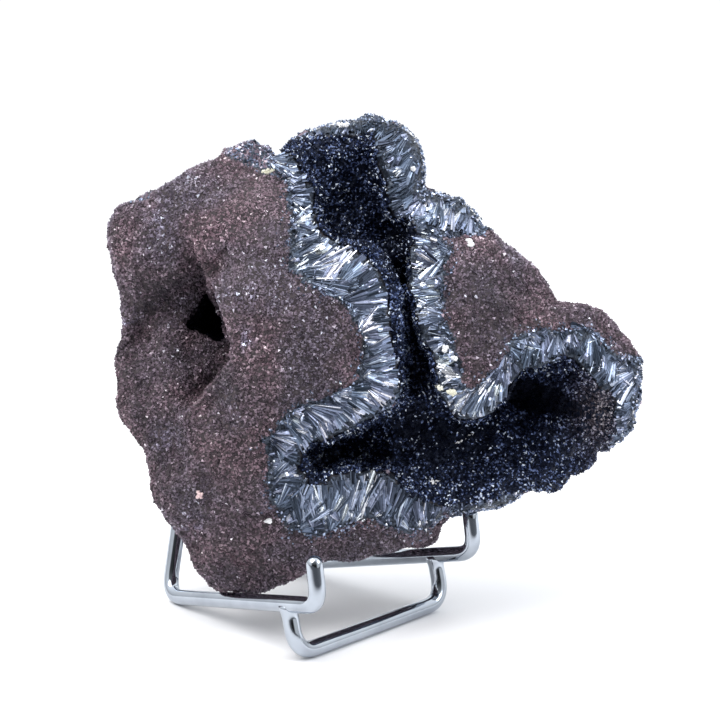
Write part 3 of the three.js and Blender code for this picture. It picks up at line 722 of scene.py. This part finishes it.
# %% Fans along the bands
LAYERS = (
    # spacing, root share, reach, spread, turn, lift
    (2.5, (0.0, 0.2), (0.9, 1.04), (0.34, 0.66), 0.15, (0.3, 0.7)),
    (2.1, (0.2, 0.5), (0.75, 1.0), (0.3, 0.62), 0.2, (0.4, 0.8)),
    (1.2, (0.0, 0.2), (0.25, 0.5), (0.3, 0.7), 0.4, (0.1, 0.35)),
)
# the low sheen of the top lobe and the arch is painted shade where the lamps light them most
BAND_LOOKS = {
    # sheen (painted light in the base colour), narrowest and widest blade, disorder
    "left_edge": (0.57, 0.22, 0.38, 1.0), "lower_fans": (0.41, 0.21, 0.33, 1.0),
    "top_lobe": (0.21, 0.2, 0.35, 1.2), "right_edge": (0.5, 0.2, 0.36, 1.3), "tongue": (0.57, 0.2, 0.32, 1.2),
    "arch": (0.34, 0.18, 0.3, 1.9), "bottom_rim": (0.4, 0.21, 0.33, 1.2),
}
FAN_ROLL = 0.45
# wave, fan and blade sheen spread the painted sheen at random
WAVES, BLADES_PER_WAVE, WAVE_SHEEN = 12, 3.5, 0.25
FAN_SHEEN, BLADE_SHEEN, FAN_RIM_PAINTED_SHADE = 0.13, 0.15, 0.2


def band_fan(line, root_share, reach_share, spread, turn, lift, sheen, narrowest, widest, disorder):
    """One fan: its strips' edges and reach, and each strip's lift, roll, sheen and hue."""
    root = line[:2] + (line[2:] - line[:2]) * chance.uniform(*root_share)
    run = line[:2] + (line[2:] - line[:2]) * chance.uniform(*reach_share) - root
    bend = chance.normal(0, turn * disorder)
    run = np.array([[math.cos(bend), -math.sin(bend)], [math.sin(bend), math.cos(bend)]]) @ run
    width = chance.uniform(narrowest, widest)
    left, right, reach = fan(root, root + run, chance.uniform(*spread), width)
    across = np.linspace(-1, 1, len(left))
    lifted = np.full(len(left), chance.uniform(*lift))
    roll = across * chance.normal(0, FAN_ROLL)
    heights = chance.normal(0, WAVE_SHEEN, WAVES)
    wave = np.interp(np.arange(len(left)) / BLADES_PER_WAVE, np.arange(WAVES), heights)
    own = chance.normal(sheen, FAN_SHEEN) + chance.normal(0, BLADE_SHEEN, len(left))
    # a fan's outer strips are darker: painted shade between the fans
    shine = own + wave - FAN_RIM_PAINTED_SHADE * np.abs(across) ** 3
    return left, right, reach, lifted, roll, shine, np.full(len(left), chance.random())


fans = []
for band, stations in BANDS.items():
    total = along_band(stations, np.zeros(1))[1]
    for spacing, *layer in LAYERS:
        number = max(2, round(total / spacing))
        middle = (np.arange(number) + 0.5 + chance.uniform(-0.4, 0.4, number)) * total / number
        fans += [band_fan(line, *layer, *BAND_LOOKS[band]) for line in along_band(stations, middle)[0]]
left, right, reach, lift, roll, sheen, hue = (np.concatenate(rows) for rows in zip(*fans))
print(len(fans), "fans of", len(left), "blades")

# %% Fans laid on the stone
SHRINKS, SHRINK = 5, 0.8
CLIMB, DROP = 2.0, 0.5  # how steeply a blade may rise and fall from its root
OVERHANG, MISSING = 2.0, 0.03

depth = surface_depth(((left + right) / 2).reshape(-1, 2)).reshape(reach.shape)
for _ in range(SHRINKS):
    past = np.isnan(depth).any(1)
    anchor = np.where(np.isnan(depth[past, 0]), len(ROW_SHARES) - 1, 0)
    for rim in (left, right):
        hold = rim[past, anchor][:, None]
        rim[past] = hold + SHRINK * (rim[past] - hold)
    depth[past] = surface_depth(((left + right) / 2)[past].reshape(-1, 2)).reshape(-1, len(ROW_SHARES))
held = np.clip(depth, depth[:, :1] - CLIMB * reach, depth[:, :1] + DROP * reach)
kept = ~np.isnan(depth).any(1) & (depth[:, -1] - held[:, -1] < OVERHANG)
kept = kept & (chance.random(len(depth)) > MISSING)
rows = (left, right, reach, lift, roll, sheen, hue, held)
left, right, reach, lift, roll, sheen, hue, depth = (row[kept] for row in rows)
depth = depth - lift[:, None] * ROW_LIFTS + roll[:, None] * ROW_SHARES
print(kept.sum(), "blades laid,", (~kept).sum(), "left out as gaps or because they reach past the stone")

# %% Silver finish
silver_blade, value, shader = finish_of("silver_blade", {"Metallic": 0.9})
tone = attribute(value, "tone")
streak = cloud(value, place(value), 0.45, 2.0).step(0.3, 0.7)
# bright tones are the blades' painted sheen and painted highlights
shade = tone.ramp(
    (0.0, (0.033, 0.042, 0.062)), (0.4, (0.2, 0.24, 0.345)), (0.7, (0.495, 0.555, 0.73)),
    (0.92, (0.95, 0.97, 1.0)),
)
shade = (0.35 * streak).blend(shade, (0.05, 0.065, 0.09))
shade = shade.tinted(attribute(value, "hue").blend((1.02, 0.98, 1.02), (0.94, 1.01, 1.01)))
# blades darken towards their roots: painted shade
shade = attribute(value, "root").blend(shade, (0.025, 0.033, 0.048))
paint(silver_blade, shader, base_color=shade, roughness=0.44 - 0.2 * tone)
print("silver finish", silver_blade.name)

# %% Blades
RIDGE_PLACES, RIDGE_RISES = (0.2, 0.8), (0.08, 0.34)
EDGE_TILT = 0.06
PAINTED_HIGHLIGHT_SHARE, PAINTED_HIGHLIGHT_LIFT = 0.1, 0.35
ROWS = len(ROW_SHARES)

ridge_at = chance.uniform(*RIDGE_PLACES, (len(left), 1, 1))
rise = np.linalg.norm(right - left, axis=2) * chance.uniform(*RIDGE_RISES, (len(left), 1))
tilt = chance.normal(0, EDGE_TILT, (len(left), 1)) * ROW_SHARES
ridge = raised(left + ridge_at * (right - left), depth - rise)
points = np.stack([raised(left, depth + tilt), ridge, raised(right, depth - tilt)], 2).reshape(-1, 3)
around = ((0, 1), (1, 2), (2, 0))
steps = [[3 * k + a, 3 * k + 3 + a, 3 * k + 3 + b, 3 * k + b] for a, b in around for k in range(ROWS - 1)]
block = (np.arange(len(left)) * 3 * ROWS)[:, None, None]
sides = (block + np.array(steps)).reshape(-1, 4).tolist()
last = 3 * (ROWS - 1)
caps = (block + np.array([[0, 1, 2], [last, last + 2, last + 1]])).reshape(-1, 3).tolist()
# one strip in ten gets a brighter base colour: a painted highlight
sheen = sheen + np.where(chance.random(len(left)) < PAINTED_HIGHLIGHT_SHARE, PAINTED_HIGHLIGHT_LIFT, 0)
numbers = {
    "tone": np.repeat(np.clip(sheen, 0, 1), 3 * ROWS), "hue": np.repeat(hue, 3 * ROWS),
    "root": np.tile(np.repeat(ROW_SHADE, 3), len(left)),
}
mesh_piece("silver_blades", points, sides + caps, silver_blade, numbers)

# %% Silver chips
CHIP_DENSITY, ROOT_CHIPS, ROOT_REACH = 5.0, 0.4, 1.2
CHIP_LIFT, SCALE_DISTANCE = 0.4, 2.2
SCALE_SIZES, SCALE_HEIGHTS = (0.25, 0.6), (0.08, 0.3)
CHIP_SIZES, CHIP_HEIGHTS = (0.16, 0.4), (0.4, 1.2)


def beside_roots(spots):
    return np.min([beside(np.array(rows)[:, :2], as_seen(spots))[0] for rows in BANDS.values()], axis=0)


def either(flat, first, second):
    """A draw from the first range for flat scales, and from the second for other chips."""
    return np.where(flat, chance.uniform(*first, len(flat)), chance.uniform(*second, len(flat)))


skin = silver & ~(front & in_bands(seen_body))
spread = np.where(skin, 1.0, ROOT_CHIPS * bell(beside_roots(body), ROOT_REACH) * front)
spread = spread * (~black) * (1 - 0.5 * streaky)
spots, normals = scattered(body, body_faces, spread, CHIP_DENSITY)
spots = spots + normals * np.where(in_bands(as_seen(spots)), CHIP_LIFT, 0.0)[:, None]
flat = ~in_bands(as_seen(spots)) & (beside_roots(spots) > SCALE_DISTANCE)
radius = either(flat, SCALE_SIZES, CHIP_SIZES)
height = radius * either(flat, SCALE_HEIGHTS, CHIP_HEIGHTS)
points, faces = pyramids(spots, normals, radius, height, 4, 0.4, 0.08)
chip_tone = np.where(flat, chance.beta(1.5, 3.0, len(spots)), chance.beta(1.6, 2.2, len(spots)))
tone_of = np.repeat(np.clip(chip_tone + 0.25 * lumps(spots, 2.5, 10), 0, 1), 5)
hue_of = np.repeat(chance.random(len(spots)), 5)
numbers = {"tone": tone_of, "root": 0 * tone_of, "hue": hue_of}
mesh_piece("silver_chips", points, faces, silver_blade, numbers)

# %% [markdown]
# ## Black druse
# The hollows are lined with one crust of tiny black crystals. Their blue, where they catch the sky, is
# painted reflection in some crystals' base colour, beside a blue specular tint.
# The stone's dark wall is copied and roughened as the crust's skin, where the crust's own solid lies, and
# four-faced crystals are scattered on it, so the lining runs up to the silver blades without a step.

# %% Druse crystals
DRUSE_DENSITY, PIT_SHARE = 8.6, 0.2
DRUSE_SIZES, DRUSE_HEIGHTS, DRUSE_TILT = (0.12, 0.31), (0.8, 2.2), 0.5
LINING_LIFT, LINING_LUMPS = 0.3, 0.2

# the pit is lined with black druse too: painted shade where the pit is deep
dark = black | in_pit
used, lining_faces = np.unique(body_faces[dark[body_faces].all(1)], return_inverse=True)
lining_faces = lining_faces.reshape(-1, 3)
lift = LINING_LIFT + LINING_LUMPS * lumps(body[used], 1.6, 6)
lining = body[used] + corner_normals(body, body_faces)[used] * lift[:, None]
weight = np.where(in_pit[used], PIT_SHARE, 1.0)
spots, normals = scattered(lining, lining_faces, weight, DRUSE_DENSITY)
radius = chance.uniform(*DRUSE_SIZES, len(spots))
height = radius * chance.uniform(*DRUSE_HEIGHTS, len(spots))
points, faces = pyramids(spots, normals, radius, height, 4, DRUSE_TILT)
print(len(lining_faces), "facets of lining,", len(spots), "crystals on it")

# %% Druse tones
DRUSE_GLINTS, DRUSE_PALES = 0.03, 0.23
RIM_PAINTED_LIGHT, RIM_REACH = 0.08, 2.2
LIP_REACH, LIP_HIGHLIGHT_TONES = 1.1, (0.35, 0.95)
PIT_PAINTED_SHADE, SLOT_PAINTED_SHADOW, DEEP_PAINTED_SHADE, SPARKLE = 0.1, 0.3, 0.6, 0.85
LINING_TONE = 0.2
WARM_X, WARM_Z, WARM_WIDE, WARM_TALL = 47, -10, 5, 8

seen_spots = as_seen(spots)
druse_tone = tones(len(spots), DRUSE_GLINTS, DRUSE_PALES)
druse_tone = druse_tone + 0.16 * lumps(spots, 3, 13) + 0.12 * lumps(spots, 0.9, 17)
# crystals near the hollow's rim are lighter than deep ones: painted light
druse_tone = druse_tone + RIM_PAINTED_LIGHT * bell(beside(HOLLOW + HOLLOW[:1], seen_spots)[0], RIM_REACH)
# bluish crystals along the lip get bright tones: painted highlight
on_lip = beside(LIP, seen_spots)[0] < LIP_REACH
druse_tone = np.where(on_lip, chance.uniform(*LIP_HIGHLIGHT_TONES, len(spots)), druse_tone)
# crystals in the pit are darkest: painted shade
druse_tone = np.where(inside(PIT, seen_spots), PIT_PAINTED_SHADE, druse_tone)
ragged = 0.5 * np.stack([lumps(spots, 1.5, 11), lumps(spots, 1.5, 12)], 1)
# the druse under the overhang is darkened: painted shadow
druse_tone = np.where(inside(SLOT, seen_spots + ragged), SLOT_PAINTED_SHADOW * druse_tone, druse_tone)
# druse in the deep gap and the deep lower hollow is darkened: painted shade
in_painted_deep_shade = (inside(DIM, seen_spots) | inside(GAP, seen_spots)) & (druse_tone < SPARKLE)
druse_tone = np.where(in_painted_deep_shade, DEEP_PAINTED_SHADE * druse_tone, druse_tone)
beside_warm = ((seen_spots[:, 0] - WARM_X) / WARM_WIDE) ** 2 + ((seen_spots[:, 1] - WARM_Z) / WARM_TALL) ** 2
tone_of = np.concatenate([np.full(len(lining), LINING_TONE), np.repeat(druse_tone, 5)])
warm_of = np.concatenate([np.zeros(len(lining)), np.repeat(np.exp(-beside_warm), 5)])
print("glinting crystals", (druse_tone > SPARKLE).sum())

# %% Black druse
black_druse, value, shader = finish_of(
    "black_druse", {"Specular IOR Level": 0.24, "Specular Tint": (0.5, 0.62, 1.0)},
)
tone = attribute(value, "tone")
# pale blue tones are painted reflection of the sky, near-white ones painted glints
shade = tone.ramp(
    (0.0, (0.0006, 0.0008, 0.002)), (0.45, (0.0026, 0.0036, 0.011)), (0.7, (0.038, 0.056, 0.135)),
    (0.88, (0.21, 0.275, 0.49)), (0.97, (0.8, 0.88, 1.0)),
)
warm = tone.ramp((0.0, (0.004, 0.003, 0.004)), (0.5, (0.06, 0.048, 0.056)), (0.9, (0.34, 0.3, 0.32)))
shade = attribute(value, "warm").blend(shade, warm)
paint(black_druse, shader, base_color=shade, roughness=0.42 - 0.15 * tone)
druse = mesh_piece(
    "black_druse", np.concatenate([lining, points]), np.concatenate([lining_faces, faces + len(lining)]),
    black_druse, {"tone": tone_of, "warm": warm_of},
)
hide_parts("black_crystal_crust")

# %% [markdown]
# ## Pale specks
# A few foreign crystals sit on the stone: one pink grain on the brown rind and some white and cream chips.
# Each speck is a handful of small crystal corners set close together, so it is broken and uneven like
# the real ones.

# %% Pale specks
SPECKS = [
    # seen x, seen z, half length, half width, turn in degrees, tone
    (-31.7, -26.6, 0.7, 0.6, 0, 0.1), (-18, -31.6, 0.7, 0.5, 20, 0.95), (21.6, 23, 1.1, 0.7, -50, 0.9),
    (10.5, 37.7, 0.5, 0.4, 0, 0.9), (14.6, -24.1, 0.8, 0.7, 0, 1.0), (-18, 37.2, 1.3, 0.5, 15, 0.5),
    (18.1, -6.4, 1.2, 0.6, 0, 0.5), (15.6, -5.3, 1.0, 0.5, -40, 0.6), (16.8, 2.2, 0.8, 0.5, 60, 0.95),
    (18.6, 0.4, 0.6, 0.4, 0, 0.95), (19.8, -16, 1.2, 0.25, 25, 0.9), (21.9, -14.6, 1.0, 0.3, 40, 0.95),
    (-3, 46.6, 1.6, 0.6, 5, 0.95),
]
CRYSTALS = 16
ALONG, ACROSS = 0.85, 0.7  # how much of a speck's length and width its crystals' middles take up
BLADE_LIFT, GRAIN_LIFT = 1.2, 0.45

x, z, long, wide, turn, tone_of = np.repeat(np.array(SPECKS), CRYSTALS, 0).T
cos, sin = np.cos(np.radians(turn)), np.sin(np.radians(turn))
far, angle = np.sqrt(chance.random(len(x))), chance.uniform(0, 2 * math.pi, len(x))
ahead, aside = ALONG * long * far * np.cos(angle), ACROSS * wide * far * np.sin(angle)
seen = np.stack([x + ahead * cos - aside * sin, z + ahead * sin + aside * cos], 1)
spots = raised(seen, surface_depth(seen) - np.where(in_bands(seen), BLADE_LIFT, GRAIN_LIFT))
kept = ~np.isnan(spots).any(1)
spots, tone_of = spots[kept], tone_of[kept]
radius = 0.65 * wide[kept] * chance.uniform(0.6, 1.1, len(spots)) + 0.06
toward = np.tile([0.0, -1.0, 0.0], (len(spots), 1))
height = radius * chance.uniform(0.1, 0.5, len(spots))
points, faces = pyramids(spots, toward, radius, height, 5, 0.3, 0.3)
pale_speck, value, shader = finish_of("pale_speck", {"Specular IOR Level": 0.5})
tone = attribute(value, "tone")
shade = tone.ramp((0.1, (0.76, 0.56, 0.57)), (0.5, (0.7, 0.69, 0.56)), (0.9, (0.85, 0.86, 0.88)))
shade = (0.35 * cloud(value, place(value), 0.6).step(0.4, 0.7)).blend(shade, (0.45, 0.42, 0.42))
paint(pale_speck, shader, base_color=shade, roughness=0.3 + 0.2 * tone)
mesh_piece("pale_specks", points, faces, pale_speck, {"tone": np.repeat(tone_of, 6)})

# %% [markdown]
# ## The chrome easel
# One round wire runs from tip to tip over the back rest, and a second, the foot, is welded under the arms.
# A curve with a round bevel would do, but a swept mesh lets the welds swell and the tips end as half balls.
# The corners repeat the solid's own numbers, so the round wire lies where the solid is.

# %% Wire helpers
WIRE = 3.2
BEND = 5.5
EASEL_TURN = math.radians(45.9)
EASEL_PLACE = np.array([4.836, -15.540, 0.0])
PATH_STEP, BEND_POINTS, WIRE_SIDES = 0.7, 15, 28
TIP_RINGS, TIP_HOLE = 6, 0.12


def bent_path(corners):
    corners = [np.array(corner, float) for corner in corners]
    runs = [corners[0][None]]
    for before, corner, after in zip(corners, corners[1:], corners[2:]):
        back, ahead = np.linalg.norm(before - corner), np.linalg.norm(after - corner)
        bend = min(BEND, back / 2, ahead / 2)
        enter = corner + (before - corner) * bend / back
        leave = corner + (after - corner) * bend / ahead
        t = np.linspace(0, 1, BEND_POINTS)[:, None]
        runs.append((1 - t) ** 2 * enter + 2 * t * (1 - t) * corner + t ** 2 * leave)
    path = np.concatenate([*runs, corners[-1][None]])
    far = np.concatenate([[0], np.cumsum(np.linalg.norm(np.diff(path, axis=0), axis=1))])
    marks = np.linspace(0, far[-1], int(far[-1] / PATH_STEP) + 1)
    return np.stack([np.interp(marks, far, path[:, k]) for k in range(3)], 1)


def swept(path, radii):
    run = unit(np.gradient(path, axis=0))
    first = [unit(np.cross(run[0], [0.3, 0.2, 1.0]))]
    for way in run[1:]:
        first.append(unit(first[-1] - way * np.dot(first[-1], way)))
    first = np.array(first)
    second = np.cross(run, first)
    angle = np.linspace(0, 2 * math.pi, WIRE_SIDES, endpoint=False)[:, None, None]
    ring = path + radii[:, None] * (np.cos(angle) * first + np.sin(angle) * second)
    points = ring.transpose(1, 0, 2).reshape(-1, 3)
    k = np.arange(WIRE_SIDES)
    after = (k + 1) % WIRE_SIDES
    i = np.arange(len(path) - 1)[:, None] * WIRE_SIDES
    quads = np.stack([i + k, i + after, i + WIRE_SIDES + after, i + WIRE_SIDES + k], -1).reshape(-1, 4)
    ends = [k[::-1].tolist(), (k + (len(path) - 1) * WIRE_SIDES).tolist()]
    return points, quads.tolist() + ends


def round_tips(path, radius):
    caps = []
    for end, inner in ((path[0], path[1]), (path[-1], path[-2])):
        angle = np.linspace(TIP_HOLE, math.pi / 2, TIP_RINGS, endpoint=False)
        caps.append((end + unit(end - inner) * radius * np.cos(angle)[:, None], radius * np.sin(angle)))
    full = np.concatenate([caps[0][0], path, caps[1][0][::-1]])
    return full, np.concatenate([caps[0][1], np.full(len(path), radius), caps[1][1][::-1]])


def easel_to_face(spots):
    along, across = math.cos(EASEL_TURN), math.sin(EASEL_TURN)
    turn = np.array([[along, across, 0], [-across, along, 0], [0, 0, 1]])
    return to_face((spots @ turn + EASEL_PLACE) * MM)


print("wire helpers ready")

# %% Chrome finish
chrome, value, shader = finish_of("chrome", {"Metallic": 1.0})
haze = cloud(value, place(value), 6).step(0.35, 0.7)
plating = haze.blend((0.45, 0.49, 0.545), (0.385, 0.42, 0.475))
paint(chrome, shader, base_color=plating, roughness=0.05 + 0.07 * haze)
print("chrome finish", chrome.name)

# %% Easel wires
ARM_FRONT, ARM_BACK, ARM_REACH, FRONT_HEIGHT = 43.6, 30.0, 52.0, 14.2
TIP_LEAN, TIP_HEIGHT = 1.2, 7.6
REST_HALF, REST_LEAN, REST_HEIGHT = 4.0, 3.4, 38
FOOT_BACK, FOOT_RAKE = 9.6, 2.3
BEAD, BEAD_PLACE, BEAD_LENGTH = 0.35, 0.6, 0.9

half = [
    [ARM_FRONT / 2, TIP_LEAN, FRONT_HEIGHT + TIP_HEIGHT], [ARM_FRONT / 2, 0, FRONT_HEIGHT],
    [ARM_BACK / 2, ARM_REACH, WIRE / 2], [REST_HALF, ARM_REACH + REST_LEAN, WIRE / 2 + REST_HEIGHT],
]
path = bent_path([[-x, y, z] for x, y, z in half] + half[::-1])
settle = WIRE / 2 - path[:, 2].min()
path, radii = round_tips(path + [0, 0, settle], WIRE / 2)
points, quads = swept(path, radii)
arms = mesh_piece("easel_arms", easel_to_face(points), quads, chrome, smooth=True)
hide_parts("easel_wire")
share = FOOT_BACK / ARM_REACH
weld = FRONT_HEIGHT + (WIRE / 2 - FRONT_HEIGHT) * share
wide = (ARM_FRONT + (ARM_BACK - ARM_FRONT) * share) / 2
leg = [[wide, FOOT_BACK, weld + settle], [wide, FOOT_BACK - FOOT_RAKE, WIRE / 2]]
path = bent_path([[-x, y, z] for x, y, z in leg] + leg[::-1])
from_weld = np.minimum(np.arange(len(path)), np.arange(len(path))[::-1]) * PATH_STEP
points, quads = swept(path, WIRE / 2 + BEAD * bell(from_weld - BEAD_PLACE, BEAD_LENGTH))
foot = mesh_piece("easel_front_foot", easel_to_face(points), quads, chrome, smooth=True)
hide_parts("easel_foot")

# %% [markdown]
# ## Floor and light
# The specimen stands on a white table in a light tent: soft light from above and the left, a pale floor
# without an edge, and a darker front where the viewer stands, which gives the chrome its dark lines.

# %% Floor
FLOOR_HALF = 6
FRONT_EDGE, FRONT_END = -0.16, -0.03

corners = [[-1, -1], [1, -1], [1, 1], [-1, 1]]
floor_mesh = bpy.data.meshes.new("floor")
floor_mesh.from_pydata([[FLOOR_HALF * x, FLOOR_HALF * y, 0] for x, y in corners], [], [[0, 1, 2, 3]])
floor = bpy.data.objects.new("floor", floor_mesh)
scene.collection.objects.link(floor)
table, value, shader = finish_of("white_table", {"Specular IOR Level": 0.2})
where = place(value)
faint = cloud(value, where, 400).step(0.3, 0.7)
cloth = faint.blend((0.9, 0.905, 0.92), (0.93, 0.93, 0.94))
behind = where.axis("Y").step(FRONT_EDGE, FRONT_END)
mirrored = value.node("ShaderNodeLightPath", output="Is Glossy Ray")
cloth = (mirrored * (1 - behind)).blend(cloth, (0.06, 0.063, 0.07))
paint(table, shader, base_color=cloth, roughness=0.6 + 0.1 * faint)
floor_mesh.materials.append(table)
print("floor", 2 * FLOOR_HALF, "m across")

# %% Light tent
TENT_LOW, TENT_RISE = 0.85, 0.75
FRONT_DIM, MIRROR_DIM = 0.85, 0.8
BACKDROP = 1.05

world = bpy.data.worlds.new("light_tent")
scene.world = world
world.use_nodes = True
tree = world.node_tree
value = Value(tree)
way = value.node("ShaderNodeTexCoord", output="Generated")
height, ahead, aside = way.axis("Z"), way.axis("Y"), way.axis("X")
mirrored = value.node("ShaderNodeLightPath", output="Is Glossy Ray")
narrow = 1 - mirrored * (aside * aside).step(0.15, 0.45)
tent = height.step(0.0, 0.8) * TENT_RISE + TENT_LOW
tent = tent * (1 - FRONT_DIM * narrow * (1 - ahead.step(-0.8, -0.1)))
low = MIRROR_DIM * mirrored * narrow * (1 - height.step(0.08, 0.5))
tent = tent * (1 - low * (1 - ahead.step(-0.75, 0.25)))
background = tree.nodes["Background"]
connect(tree, tent, background.inputs["Strength"])
connect(tree, (0.96, 0.98, 1.0), background.inputs["Color"])
backdrop = value.node("ShaderNodeBackground", links={"Color": (1.0, 1.0, 1.0), "Strength": BACKDROP})
direct = value.node("ShaderNodeLightPath", output="Is Camera Ray")
around = {0: direct, 1: Value(tree, background.outputs[0]), 2: backdrop}
both = value.node("ShaderNodeMixShader", links=around)
tree.links.new(both.socket, tree.nodes["World Output"].inputs["Surface"])
print("light tent with", len(tree.nodes), "nodes")

# %% Lamps
AIM = (0, 0, 0.05)


def soft_light(name, spot, size, power, colour):
    lamp = bpy.data.lights.new(name, "AREA")
    lamp.size = size
    lamp.energy = power
    lamp.color = colour
    holder = bpy.data.objects.new(name, lamp)
    scene.collection.objects.link(holder)
    holder.location = spot
    x, y, z = np.array(AIM, float) - np.array(spot, float)
    holder.rotation_euler = (math.atan2(math.hypot(x, y), -z), 0, math.atan2(x, -y) + math.pi)


soft_light("key", spot=(-0.35, -0.3, 0.75), size=0.65, power=6, colour=(1.0, 0.98, 0.97))
soft_light("side", spot=(0.6, -0.2, 0.45), size=0.4, power=2.0, colour=(0.92, 0.95, 1.0))
scene.view_settings.view_transform = "Standard"
